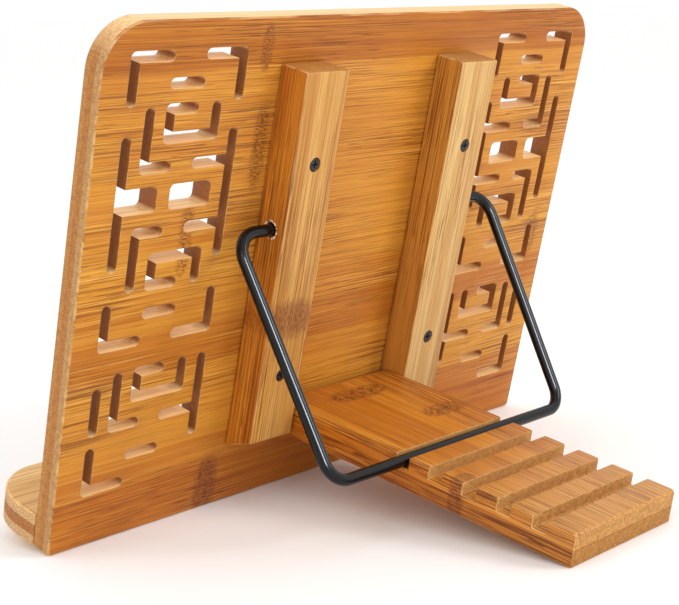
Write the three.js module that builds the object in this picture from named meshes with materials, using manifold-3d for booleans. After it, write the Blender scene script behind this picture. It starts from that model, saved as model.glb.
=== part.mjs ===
// Photo album stand: a pierced bamboo back board with a ledge along its foot, two
// battens screwed to its back, a notched tail board hinged between the battens, and a
// bent wire bail that drops into one of the tail's notches and props the board.
//
// Row frame: +X to the side, +Y to the rear, +Z up, origin under the middle of the stand.
// Every piece is drawn in the board's own frame: u across it towards -X, v up it and w out
// of its back face. The group is then leaned back until the tail meets the table.

import * as THREE from 'three';
import { mergeVertices } from 'three/addons/utils/BufferGeometryUtils.js';
import Module from 'manifold-3d';

const wasm = await Module();
wasm.setup();

// ---------------------------------------------------------------- driving dimensions (mm)

const restGap = 0.3;            // clearance kept wherever two solids touch
const roundSides = 20;          // sides of a turned piece
const arcSegments = 8;          // flats in each quarter of a rounded corner

const boardWidth = 340;
const boardHeight = 239.4;
const boardThickness = 11.3;
const boardTopRadius = 22;
const boardFootRadius = 2;

const ledgeDepth = 40.2;
const ledgeThickness = 15.8;
const ledgeCornerRadius = 28;

const dowelDiameter = 8;
const dowelCover = 3.8;         // wood left in front of a dowel's end in the board
const dowelInLedge = 20;
const dowelCount = 4;
const dowelInset = 42;          // outermost dowel from the board's side

const battenWidth = 27.8;
const battenDepth = 16.8;
const battenSpacing = 81.5;     // between the two inner faces
const battenFoot = 31;          // height of the lower end where it meets the board
const battenTopMargin = 20.9;   // from the batten's top to the board's top
const battenFootSlant = 24;     // degrees that the lower end is cut back

const screwHeadDiameter = 6.2;
const screwHeadHeight = 2.4;
const screwShankDiameter = 3.6;
const screwCover = 3.1;         // wood left in front of a screw's point, less the head's sink
const screwSink = 0.2;          // head below the batten's back
const screwRim = 0.5;           // straight edge of the head above its cone
const screwPoint = 5;
const screwTipRadius = 0.4;
const screwRecessWidth = 0.9;
const screwRecessDepth = 1.3;
const screwRecessReach = 0.34;  // half length of the cross, as a part of the head's diameter
const screwFromTop = 43.1;      // upper screw below the batten's top
const screwFromFoot = 40.8;     // lower screw above the batten's foot

const tailWidthPlay = 0.95;     // at each side, between the battens
const tailThickness = 16;
const tailLength = 180.7;
const tailRise = 3.45;          // degrees above square to the board, in the first notch
const tailEndRadius = 1.2;
const knuckleSteps = 14;

const pivotHeight = 43.8;       // above the board's foot
const tailOffBoard = 0.4;       // between the tail's knuckle and the board
const pivotRodDiameter = 6;
const pivotRodInBatten = 10;

const notchCount = 5;
const notchPlay = 1.7;          // notch's width beyond the wire's
const notchDepth = 6;
const firstNotch = 84.7;        // middle of the first notch from the tail's rounded end
const lastNotchInset = 18.6;    // middle of the last notch from the tail's square end

const wireDiameter = 5.7;
const wireSides = 10;
const wireSteps = 170;
const bailBelowTop = 75;        // bail's own pivot below the battens' top
const bailSetOut = 0.2;         // bail's pivot beyond the middle of the batten's depth
const bailInBatten = 12;
const bailShoulderReach = 22.65; // from a batten's outer face to the middle of the arm
const bailTaper = 4.4;          // each arm comes in by this much towards the crossbar
const bailTopBend = 12;         // bend radii of the wire's centre line
const bailFootBend = 11;
const holePlay = 0.35;          // radial play of a wire, rod or dowel in its hole

const slotWidth = 5;            // fretwork slots
const slotEndSides = 10;
const cutOver = 1;              // how far a cutter runs past a face

// ---------------------------------------------------------------- worked-out places

const halfBoard = boardWidth / 2;
const battenInner = battenSpacing / 2;
const battenOuter = battenInner + battenWidth;
const battenMiddle = battenInner + battenWidth / 2;
const battenTop = boardHeight - battenTopMargin;
const dowelInBoard = boardThickness - dowelCover;
const screwLength = battenDepth + boardThickness - screwCover;
const screwTop = battenDepth - screwSink;
const pivotOut = tailThickness / 2 + tailOffBoard;  // rod's middle from the board's back face
const tailHalf = battenInner - tailWidthPlay;
const notchWidth = wireDiameter + notchPlay;
const notchPitch = (tailLength - lastNotchInset - firstNotch) / (notchCount - 1);
const bailHeight = battenTop - bailBelowTop;
const bailOut = battenDepth / 2 + bailSetOut;       // bail's pivot from the board's back face
const bailShoulder = battenOuter + bailShoulderReach;
const bailFootHalf = bailShoulder - bailTaper;
const riseAngle = THREE.MathUtils.degToRad(tailRise);

// A point of the tail, given along the tail from its rounded end and below its top face.
function tailPoint(along, below) {
  const x = along - tailThickness / 2;
  const y = tailThickness / 2 - below;
  return new THREE.Vector2(
    pivotHeight + x * Math.sin(riseAngle) + y * Math.cos(riseAngle),
    pivotOut + x * Math.cos(riseAngle) - y * Math.sin(riseAngle),
  );
}

// The wire lies on the floor of the first notch.
const crossbar = tailPoint(firstNotch, notchDepth - restGap - wireDiameter / 2);

// The stand leans back until the tail's lower end corner is level with the board's foot.
const tailHeel = tailPoint(tailLength, tailThickness);
const leanAngle = Math.atan2(tailHeel.x, tailHeel.y);

// ---------------------------------------------------------------- materials

function look(color, roughness, metalness) {
  return new THREE.MeshStandardMaterial({ color, roughness, metalness });
}

const bamboo = look(0xcf8d42, 0.45, 0);
const paleBamboo = look(0xdcaa64, 0.45, 0);
const darkBamboo = look(0xc37323, 0.45, 0);
const beech = look(0xd9bd92, 0.7, 0);
const blackWire = look(0x101114, 0.3, 0.4);
const blackScrew = look(0x15161a, 0.4, 0.7);
const steel = look(0xb4b7ba, 0.35, 1);

// ---------------------------------------------------------------- solids and placing

function solidOf(geometry) {
  const plain = geometry.clone();
  plain.deleteAttribute('normal');
  plain.deleteAttribute('uv');
  const merged = mergeVertices(plain, 1e-4);
  const vertProperties = new Float32Array(merged.attributes.position.array);
  const triVerts = new Uint32Array(merged.index.array);
  return new wasm.Manifold(new wasm.Mesh({ numProp: 3, vertProperties, triVerts }));
}

function geometryOf(solid) {
  const mesh = solid.getMesh();
  const geometry = new THREE.BufferGeometry();
  const corners = new Float32Array(mesh.vertProperties);
  geometry.setAttribute('position', new THREE.BufferAttribute(corners, 3));
  geometry.setIndex(new THREE.BufferAttribute(new Uint32Array(mesh.triVerts), 1));
  geometry.computeVertexNormals();
  return geometry;
}

function cutAway(geometry, cutters) {
  let solid = solidOf(geometry);
  for (const cutter of cutters) {
    solid = solid.subtract(solidOf(cutter));
  }
  return geometryOf(solid);
}

// A flat shape drawn in (u, v), thickened from w = low to w = high.
function plate(shape, low, high, curveSegments = arcSegments) {
  const settings = { depth: high - low, bevelEnabled: false, curveSegments };
  return new THREE.ExtrudeGeometry(shape, settings).translate(0, 0, low);
}

// A shape drawn in (v, w), thickened along u from low to high.
function beam(shape, low, high) {
  const axes = new THREE.Matrix4().set(0, 0, 1, low, 1, 0, 0, 0, 0, 1, 0, 0, 0, 0, 0, 1);
  return plate(shape, 0, high - low).applyMatrix4(axes);
}

// A round bar along u (axis 'u') or along w (axis 'w').
function bar(diameter, axis, low, high, middle) {
  const geometry = new THREE.CylinderGeometry(diameter / 2, diameter / 2, high - low, roundSides);
  if (axis === 'u') {
    geometry.rotateZ(Math.PI / 2);
    return geometry.translate((low + high) / 2, middle.x, middle.y);
  }
  geometry.rotateX(Math.PI / 2);
  return geometry.translate(middle.x, middle.y, (low + high) / 2);
}

function mirrored(geometry) {
  const flipped = geometry.index ? geometry.toNonIndexed() : geometry.clone();
  flipped.deleteAttribute('uv');
  flipped.deleteAttribute('normal');
  const positions = flipped.attributes.position;
  for (let corner = 0; corner < positions.count; corner += 3) {
    const first = new THREE.Vector3().fromBufferAttribute(positions, corner);
    const last = new THREE.Vector3().fromBufferAttribute(positions, corner + 2);
    positions.setXYZ(corner, -last.x, last.y, last.z);
    positions.setX(corner + 1, -positions.getX(corner + 1));
    positions.setXYZ(corner + 2, -first.x, first.y, first.z);
  }
  return mergeVertices(flipped, 1e-4);
}

const stand = new THREE.Group();
stand.quaternion.setFromRotationMatrix(new THREE.Matrix4().makeBasis(
  new THREE.Vector3(-1, 0, 0),
  new THREE.Vector3(0, Math.sin(leanAngle), Math.cos(leanAngle)),
  new THREE.Vector3(0, Math.cos(leanAngle), -Math.sin(leanAngle)),
));

function place(name, geometry, material) {
  const mesh = new THREE.Mesh(geometry, material);
  mesh.name = name;
  stand.add(mesh);
}

// ---------------------------------------------------------------- fretwork

// The pattern is drawn as [distance in from the board's side, height above its lowest line].
// Its height is stretched to run from patternFoot to patternTop on the board.
const patternFoot = 28;
const patternTop = boardHeight - 15.2;
const upright = { outer: 17.3, fourth: 28.5, third: 39.8, second: 65.9, inner: 77.9 };
const cross = {
  crown: 196.2, upperDash: 184.3, upperLoop: 173.3, upperLoopFoot: 160.9, upperArm: 148.4,
  lowerArm: 119.4, lowerLoopFoot: 106.9, lowerLoop: 94.6, lowerDash: 81.4, base: 69.2,
  footLoop: 53.6, footLoopFoot: 41.6, footArm: 29, footDash: 13, footBase: 0,
};
const ends = {
  crown: 177.9, spineTop: 160.4, spineFoot: 106, base: 86.2,
  footSpine: 17, footSideTop: 47.2, footSide: 29.2, footBase: 18.5,
};
const mouths = { loop: 52.7, arm: 58.2, elbow: 40.9, crownInner: 58.8, crownOuter: 35.9 };
const dash = { inner: 54.6, outer: 40.4 };
const windowHeights = { low: 128.3, high: 140 };
const windowSides = [[14.8, 37.7], [45, 68.6]];
const loopLift = 12;            // rise of a loop's free upright above its foot
const elbowReach = 23.8;        // length of an elbow's upright

function onBoard([inset, height]) {
  return [halfBoard - inset, patternFoot + (height * (patternTop - patternFoot)) / cross.crown];
}

// A bent loop: a short bar, the upright behind it, the foot and the free upright.
function loopPath(barLine, footLine) {
  const rise = Math.sign(barLine - footLine) * loopLift;
  return [
    [mouths.loop, barLine], [upright.third, barLine], [upright.third, footLine],
    [upright.second, footLine], [upright.second, footLine + rise],
  ];
}

// An elbow: an upright and a foot towards the board's middle.
function elbowPath(footLine, reach) {
  return [[upright.fourth, footLine + reach], [upright.fourth, footLine], [mouths.elbow, footLine]];
}

function dashPath(line) {
  return [[dash.inner, line], [dash.outer, line]];
}

// A corner of the frame round the pattern: a bar and the upright at its end.
function cornerPath(mouth, side, line, end) {
  return [[mouth, line], [side, line], [side, end]];
}

function armPath(line) {
  return [[mouths.arm, line], [upright.inner, line]];
}

function upperMotif() {
  return [
    cornerPath(mouths.crownOuter, upright.outer, cross.crown, ends.crown),
    cornerPath(mouths.crownInner, upright.inner, cross.crown, ends.crown),
    dashPath(cross.upperDash),
    loopPath(cross.upperLoop, cross.upperLoopFoot),
    elbowPath(cross.upperArm, elbowReach),
    armPath(cross.upperArm),
    [[upright.inner, ends.spineTop], [upright.inner, ends.spineFoot]],
    [[upright.outer, ends.spineTop], [upright.outer, ends.spineFoot]],
    armPath(cross.lowerArm),
    elbowPath(cross.lowerArm, -elbowReach),
    loopPath(cross.lowerLoop, cross.lowerLoopFoot),
    dashPath(cross.lowerDash),
    cornerPath(mouths.crownOuter, upright.outer, cross.base, ends.base),
    cornerPath(mouths.crownInner, upright.inner, cross.base, ends.base),
  ];
}

function lowerMotif() {
  return [
    loopPath(cross.footLoop, cross.footLoopFoot),
    elbowPath(cross.footArm, elbowReach),
    armPath(cross.footArm),
    [[upright.inner, cross.footLoop], [upright.inner, ends.footSpine]],
    [[upright.outer, ends.footSideTop], [upright.outer, ends.footSide]],
    dashPath(cross.footDash),
    cornerPath(mouths.crownOuter, upright.outer, cross.footBase, ends.footBase),
  ];
}

// One straight slot with round ends, from one point to the other.
function slotShape(from, to) {
  const start = new THREE.Vector2(...from);
  const end = new THREE.Vector2(...to);
  const angle = Math.atan2(end.y - start.y, end.x - start.x);
  const shape = new THREE.Shape();
  shape.absarc(end.x, end.y, slotWidth / 2, angle - Math.PI / 2, angle + Math.PI / 2, false);
  shape.absarc(start.x, start.y, slotWidth / 2, angle + Math.PI / 2, angle + Math.PI * 1.5, false);
  return shape;
}

function boxShape(left, low, right, high) {
  return new THREE.Shape([
    new THREE.Vector2(left, low), new THREE.Vector2(right, low),
    new THREE.Vector2(right, high), new THREE.Vector2(left, high),
  ]);
}

// A window, with its corners rounded by the same cutter as the slots.
function windowShape(left, low, right, high) {
  const corner = slotWidth / 2;
  const shape = new THREE.Shape();
  shape.absarc(right - corner, high - corner, corner, 0, Math.PI / 2, false);
  shape.absarc(left + corner, high - corner, corner, Math.PI / 2, Math.PI, false);
  shape.absarc(left + corner, low + corner, corner, Math.PI, Math.PI * 1.5, false);
  shape.absarc(right - corner, low + corner, corner, Math.PI * 1.5, Math.PI * 2, false);
  return shape;
}

function fretworkCutters() {
  const shapes = [];
  for (const path of [...upperMotif(), ...lowerMotif()]) {
    const corners = path.map(onBoard);
    for (let leg = 1; leg < corners.length; leg += 1) {
      shapes.push(slotShape(corners[leg - 1], corners[leg]));
    }
  }
  for (const [near, far] of windowSides) {
    const [left, low] = onBoard([far, windowHeights.low]);
    const [right, high] = onBoard([near, windowHeights.high]);
    shapes.push(windowShape(left, low, right, high));
  }
  const front = -boardThickness - cutOver;
  const through = shapes.map((shape) => plate(shape, front, cutOver, slotEndSides / 2));
  return through.concat(through.map(mirrored));
}

// ---------------------------------------------------------------- board, ledge and dowels

function boardOutline() {
  const shape = new THREE.Shape();
  const top = boardHeight - boardTopRadius;
  const side = halfBoard - boardTopRadius;
  const foot = halfBoard - boardFootRadius;
  shape.absarc(foot, boardFootRadius, boardFootRadius, -Math.PI / 2, 0, false);
  shape.absarc(side, top, boardTopRadius, 0, Math.PI / 2, false);
  shape.absarc(-side, top, boardTopRadius, Math.PI / 2, Math.PI, false);
  shape.absarc(-foot, boardFootRadius, boardFootRadius, Math.PI, Math.PI * 1.5, false);
  return shape;
}

const dowelMiddles = [];
for (let index = 0; index < dowelCount; index += 1) {
  const span = boardWidth - 2 * dowelInset;
  const across = -span / 2 + (index * span) / (dowelCount - 1);
  dowelMiddles.push(new THREE.Vector2(across, ledgeThickness / 2));
}

const screwMiddles = [];
for (const side of [1, -1]) {
  screwMiddles.push(new THREE.Vector2(side * battenMiddle, battenTop - screwFromTop));
  screwMiddles.push(new THREE.Vector2(side * battenMiddle, battenFoot + screwFromFoot));
}

function makeBoard() {
  const front = -boardThickness;
  const dowelEnd = front + dowelInBoard + restGap;
  const pilotEnd = screwTop - screwLength - restGap;
  const cutters = fretworkCutters();
  for (const middle of dowelMiddles) {
    cutters.push(bar(dowelDiameter + 2 * holePlay, 'w', front - cutOver, dowelEnd, middle));
  }
  for (const middle of screwMiddles) {
    cutters.push(bar(screwShankDiameter + 2 * holePlay, 'w', pilotEnd, cutOver, middle));
  }
  return cutAway(plate(boardOutline(), front, 0), cutters);
}

function makeLedge() {
  const side = halfBoard - ledgeCornerRadius;
  const front = ledgeDepth - ledgeCornerRadius;
  const shape = new THREE.Shape();
  shape.moveTo(-halfBoard, 0);
  shape.lineTo(halfBoard, 0);
  shape.absarc(side, front, ledgeCornerRadius, 0, Math.PI / 2, false);
  shape.absarc(-side, front, ledgeCornerRadius, Math.PI / 2, Math.PI, false);
  const slab = plate(shape, 0, ledgeThickness);
  const rear = -boardThickness - restGap;
  // Lay the slab down: its outline runs forward from the board, its thickness up.
  slab.applyMatrix4(new THREE.Matrix4().set(1, 0, 0, 0, 0, 0, 1, 0, 0, -1, 0, rear, 0, 0, 0, 1));
  const holes = dowelMiddles.map((middle) => (
    bar(dowelDiameter + 2 * holePlay, 'w', rear - dowelInLedge - restGap, rear + cutOver, middle)
  ));
  return cutAway(slab, holes);
}

function makeDowel(middle) {
  const low = -boardThickness - restGap - dowelInLedge;
  return bar(dowelDiameter, 'w', low, -boardThickness + dowelInBoard, middle);
}

// ---------------------------------------------------------------- battens and screws

// Radii of the screw, or of its hole when grown, and how far the cone reaches below the head.
function screwSizes(grow) {
  const head = screwHeadDiameter / 2 + grow;
  const shank = screwShankDiameter / 2 + grow;
  return { head, shank, neck: screwHeadHeight + screwRim + grow, rim: screwRim + grow };
}

// A profile of [radius, height] pairs turned about the screw's axis.
function turnedAt(profile, middle) {
  const outline = profile.map(([radius, height]) => new THREE.Vector2(radius, height));
  const turned = new THREE.LatheGeometry(outline, roundSides);
  turned.rotateX(Math.PI / 2);
  return turned.translate(middle.x, middle.y, screwTop);
}

function makeScrew(middle) {
  const { head, shank, neck, rim } = screwSizes(0);
  const turned = turnedAt([
    [0, -screwLength], [screwTipRadius, -screwLength], [shank, -screwLength + screwPoint],
    [shank, -neck], [head, -rim], [head, 0], [0, 0],
  ], middle);
  const reach = screwHeadDiameter * screwRecessReach;
  const half = screwRecessWidth / 2;
  const recess = [[reach, half], [half, reach]].map(([wide, high]) => (
    plate(boxShape(middle.x - wide, middle.y - high, middle.x + wide, middle.y + high),
      screwTop - screwRecessDepth, screwTop + cutOver)
  ));
  return cutAway(turned, recess);
}

// The hole that the screw leaves in a batten: a straight bore and a countersink.
function screwHole(middle) {
  const { head, shank, neck, rim } = screwSizes(holePlay);
  return turnedAt([
    [0, -battenDepth - cutOver], [shank, -battenDepth - cutOver], [shank, -neck],
    [head, -rim], [head, cutOver], [0, cutOver],
  ], middle);
}

function makeBatten() {
  const cutBack = battenDepth * Math.tan(THREE.MathUtils.degToRad(battenFootSlant));
  const shape = new THREE.Shape([
    new THREE.Vector2(battenFoot, restGap), new THREE.Vector2(battenTop, restGap),
    new THREE.Vector2(battenTop, battenDepth), new THREE.Vector2(battenFoot + cutBack, battenDepth),
  ]);
  const bailHole = bar(wireDiameter + 2 * holePlay, 'u', battenOuter - bailInBatten - restGap,
    battenOuter + cutOver, new THREE.Vector2(bailHeight, bailOut));
  const rodHole = bar(pivotRodDiameter + 2 * holePlay, 'u', battenInner - cutOver,
    battenInner + pivotRodInBatten + restGap, new THREE.Vector2(pivotHeight, pivotOut));
  const screwHoles = screwMiddles.filter((middle) => middle.x > 0).map(screwHole);
  return cutAway(beam(shape, battenInner, battenOuter), [bailHole, rodHole, ...screwHoles]);
}

// ---------------------------------------------------------------- tail and its rod

// Side view of the tail: a round knuckle, a flat run, the notches and a square end.
function tailShape() {
  const points = [];
  const knuckle = tailThickness / 2;
  for (let step = 0; step <= knuckleSteps; step += 1) {
    const turn = (Math.PI * step) / knuckleSteps;
    points.push(tailPoint(knuckle - knuckle * Math.sin(turn), knuckle + knuckle * Math.cos(turn)));
  }
  for (let index = 0; index < notchCount; index += 1) {
    const near = firstNotch + index * notchPitch - notchWidth / 2;
    const far = near + notchWidth;
    points.push(tailPoint(near, 0), tailPoint(near, notchDepth));
    points.push(tailPoint(far, notchDepth), tailPoint(far, 0));
  }
  points.push(tailPoint(tailLength - tailEndRadius, 0), tailPoint(tailLength, tailEndRadius));
  points.push(tailPoint(tailLength, tailThickness));
  return new THREE.Shape(points.reverse());
}

function makeTail() {
  const bore = bar(pivotRodDiameter + 2 * holePlay, 'u', -battenInner, battenInner,
    new THREE.Vector2(pivotHeight, pivotOut));
  return cutAway(beam(tailShape(), -tailHalf, tailHalf), [bore]);
}

function makePivotRod() {
  const half = battenInner + pivotRodInBatten;
  return bar(pivotRodDiameter, 'u', -half, half, new THREE.Vector2(pivotHeight, pivotOut));
}

// ---------------------------------------------------------------- bail

// A run of straight lines between corners, each corner rounded by an arc.
class BentWire extends THREE.Curve {
  constructor(corners, radii) {
    super();
    this.pieces = [];
    let from = corners[0];
    for (let index = 1; index < corners.length - 1; index += 1) {
      const corner = corners[index];
      const back = corners[index - 1].clone().sub(corner).normalize();
      const ahead = corners[index + 1].clone().sub(corner).normalize();
      const half = back.angleTo(ahead) / 2;
      const radius = radii[index - 1];
      const start = corner.clone().addScaledVector(back, radius / Math.tan(half));
      const end = corner.clone().addScaledVector(ahead, radius / Math.tan(half));
      const inward = back.clone().add(ahead).normalize();
      const middle = corner.clone().addScaledVector(inward, radius / Math.sin(half));
      this.addLine(from, start);
      this.addArc(middle, start, end, radius);
      from = end;
    }
    this.addLine(from, corners[corners.length - 1]);
    this.total = this.pieces.reduce((sum, piece) => sum + piece.length, 0);
  }

  addLine(start, end) {
    this.pieces.push({ length: start.distanceTo(end), at: (part) => start.clone().lerp(end, part) });
  }

  addArc(middle, start, end, radius) {
    const first = start.clone().sub(middle);
    const last = end.clone().sub(middle);
    const sweep = first.angleTo(last);
    const at = (part) => first.clone().multiplyScalar(Math.sin((1 - part) * sweep))
      .addScaledVector(last, Math.sin(part * sweep)).divideScalar(Math.sin(sweep)).add(middle);
    this.pieces.push({ length: radius * sweep, at });
  }

  getPoint(part, target = new THREE.Vector3()) {
    let left = part * this.total;
    for (const piece of this.pieces.slice(0, -1)) {
      if (left <= piece.length) {
        return target.copy(piece.at(left / piece.length));
      }
      left -= piece.length;
    }
    const last = this.pieces[this.pieces.length - 1];
    return target.copy(last.at(Math.min(left / last.length, 1)));
  }
}

function makeBail() {
  const tip = battenOuter - bailInBatten;
  const corners = [
    [tip, bailHeight, bailOut],
    [bailShoulder, bailHeight, bailOut],
    [bailFootHalf, crossbar.x, crossbar.y],
    [-bailFootHalf, crossbar.x, crossbar.y],
    [-bailShoulder, bailHeight, bailOut],
    [-tip, bailHeight, bailOut],
  ].map((corner) => new THREE.Vector3(...corner));
  const route = new BentWire(corners, [bailTopBend, bailFootBend, bailFootBend, bailTopBend]);
  const section = new THREE.Shape();
  section.absarc(0, 0, wireDiameter / 2, 0, Math.PI * 2, false);
  return new THREE.ExtrudeGeometry(section, {
    steps: wireSteps, extrudePath: route, bevelEnabled: false, curveSegments: wireSides / 2,
  });
}

// ---------------------------------------------------------------- the stand

place('back_board', makeBoard(), bamboo);
place('album_ledge', makeLedge(), bamboo);
dowelMiddles.forEach((middle, index) => place(`ledge_dowel_${index + 1}`, makeDowel(middle), beech));
const batten = makeBatten();
place('batten_left', batten, paleBamboo);
place('batten_right', mirrored(batten), paleBamboo);
const screwNames = ['screw_left_upper', 'screw_left_lower', 'screw_right_upper', 'screw_right_lower'];
screwMiddles.forEach((middle, index) => place(screwNames[index], makeScrew(middle), blackScrew));
place('tail_board', makeTail(), darkBamboo);
place('tail_pivot_rod', makePivotRod(), steel);
place('wire_bail', makeBail(), blackWire);

// The origin is under the middle of the stand's box, on the table.
const whole = new THREE.Group();
stand.updateMatrixWorld(true);
const box = new THREE.Box3().setFromObject(stand, true);
const centre = box.getCenter(new THREE.Vector3());
stand.position.set(-centre.x, -centre.y, -box.min.z);
whole.add(stand);

export default whole;
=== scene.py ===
"""Photo album stand in warm laminated bamboo, with black screws and a black bent-wire bail.

The solids give every piece its place. Wooden pieces are the solids with softened arrises;
the wire and the screws are drawn again as finer surfaces. Lengths are in millimetres
until they reach a mesh, which is in metres.
"""

import math

import bmesh
import bpy
import numpy as np
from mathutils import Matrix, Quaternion, Vector


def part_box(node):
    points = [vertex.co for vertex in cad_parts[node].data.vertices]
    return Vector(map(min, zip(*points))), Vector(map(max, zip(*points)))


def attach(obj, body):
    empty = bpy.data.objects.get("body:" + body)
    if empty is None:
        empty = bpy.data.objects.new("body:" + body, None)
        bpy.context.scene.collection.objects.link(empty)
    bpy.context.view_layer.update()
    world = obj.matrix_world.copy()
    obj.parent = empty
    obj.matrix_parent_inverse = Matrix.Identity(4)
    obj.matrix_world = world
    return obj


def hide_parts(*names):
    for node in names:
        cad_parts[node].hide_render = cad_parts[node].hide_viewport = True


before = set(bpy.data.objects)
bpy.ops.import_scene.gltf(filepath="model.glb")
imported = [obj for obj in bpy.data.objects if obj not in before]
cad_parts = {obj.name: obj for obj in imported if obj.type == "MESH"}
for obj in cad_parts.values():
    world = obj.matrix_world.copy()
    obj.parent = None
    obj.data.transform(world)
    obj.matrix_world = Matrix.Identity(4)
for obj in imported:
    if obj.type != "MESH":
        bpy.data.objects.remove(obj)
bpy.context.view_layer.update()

MM = 0.001

# ------------------------------------------------------------------ sizes of the stand (mm)

# The board, its ledge, and the part of the board that the fretwork keeps to.
BOARD_HEIGHT = 239.4
BOARD_THICKNESS = 11.3
LEDGE_THICKNESS = 15.8
FRETWORK_INNER = 80.0
FRETWORK_OUTER = 160.0
FRETWORK_LOW = 20.0
FRETWORK_HIGH = 232.0

# The battens, from the middle of the board to their inner and outer sides.
BATTEN_INNER = 40.75
BATTEN_OUTER = 68.55
BATTEN_DEPTH = 16.8

# The tail, the rod that it turns on, and the play at each of its sides.
TAIL_THICKNESS = 16.0
TAIL_LENGTH = 180.7
TAIL_RISE = math.radians(3.45)
TAIL_PLAY = 0.95
PIVOT_HEIGHT = 43.8
PIVOT_OUT = 8.4
FIRST_NOTCH = 84.7
NOTCH_DEPTH = 6.0
REST_GAP = 0.3

# The wire bail: where its ends turn in, its bends and its crossbar.
WIRE_RADIUS = 2.85
BAIL_HEIGHT = 143.5
BAIL_OUT = 8.6
BAIL_TIP = 56.55
BAIL_SHOULDER = 91.2
BAIL_FOOT = 86.8
BAIL_TOP_BEND = 12.0
BAIL_FOOT_BEND = 11.0

# The screws, down from the top of the head.
SCREW_OUT = 54.65
SCREW_HEIGHTS = {"upper": 175.4, "lower": 71.8}
SCREW_TOP = 16.6
SCREW_LENGTH = 25.0
SCREW_TAPER = 5.0
SCREW_HEAD_RADIUS = 3.1
SCREW_SHANK_RADIUS = 1.8
SCREW_TIP_RADIUS = 0.4
HEAD_EDGE = 0.5
HEAD_FOOT = 2.9
CROSS_DEPTH = 1.1

# The bores in the battens, as radii and depths.
WIRE_BORE = 3.2
ROD_BORE = 3.35
ROD_DEPTH = 10.0
SCREW_BORE = 2.15
SCREW_SEAT = 3.45
SEAT_DEPTH = 0.85
SEAT_FOOT = 3.25
PAST_FACE = 2.0

# ------------------------------------------------------------------ camera (mm, board frame)

CAMERA_PLACE = (-573.97, 363.11, 473.41)
CAMERA_TARGET = (-0.96, 93.73, 0.0)
CAMERA_ROLL = math.radians(-1.4145)
CAMERA_LENS = 84.27
CAMERA_SENSOR = 36.0


def tail_point(along, below):
    """(v, w) of a point of the tail, from its rounded end and below its top face."""
    x = along - TAIL_THICKNESS / 2
    y = TAIL_THICKNESS / 2 - below
    return (
        PIVOT_HEIGHT + x * math.sin(TAIL_RISE) + y * math.cos(TAIL_RISE),
        PIVOT_OUT + x * math.cos(TAIL_RISE) - y * math.sin(TAIL_RISE),
    )


CROSSBAR = tail_point(FIRST_NOTCH, NOTCH_DEPTH - REST_GAP - WIRE_RADIUS)
LEAN = math.atan2(*tail_point(TAIL_LENGTH, TAIL_THICKNESS))
FOOT_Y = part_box("back_board")[1].y / MM - math.sin(LEAN) * BOARD_HEIGHT
BOARD_OUT = np.array([0.0, math.cos(LEAN), -math.sin(LEAN)])
BOARD_UP = np.array([0.0, math.sin(LEAN), math.cos(LEAN)])
TAIL_ALONG = np.array([0.0, math.cos(LEAN - TAIL_RISE), -math.sin(LEAN - TAIL_RISE)])


def row_points(u, v, w):
    """Board frame (u across, v up the board, w out of its back) to the row frame, in metres."""
    u, v, w = np.broadcast_arrays(u, v, w)
    y = FOOT_Y + math.sin(LEAN) * v + math.cos(LEAN) * w
    z = math.cos(LEAN) * v - math.sin(LEAN) * w
    return np.stack([-u, y, z], axis=-1).reshape(-1, 3) * MM


def board_points(co):
    """Row frame in metres back to the board frame in millimetres."""
    y = co[:, 1] / MM - FOOT_Y
    z = co[:, 2] / MM
    v = math.sin(LEAN) * y + math.cos(LEAN) * z
    w = math.cos(LEAN) * y - math.sin(LEAN) * z
    return -co[:, 0] / MM, v, w


# ------------------------------------------------------------------ finishes


def tone(red, green, blue):
    """A colour of 0 to 255 steps as linear light."""
    steps = np.array([red, green, blue]) / 255.0
    light = np.where(steps <= 0.04045, steps / 12.92, ((steps + 0.055) / 1.055) ** 2.4)
    return (*light.tolist(), 1.0)


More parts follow.
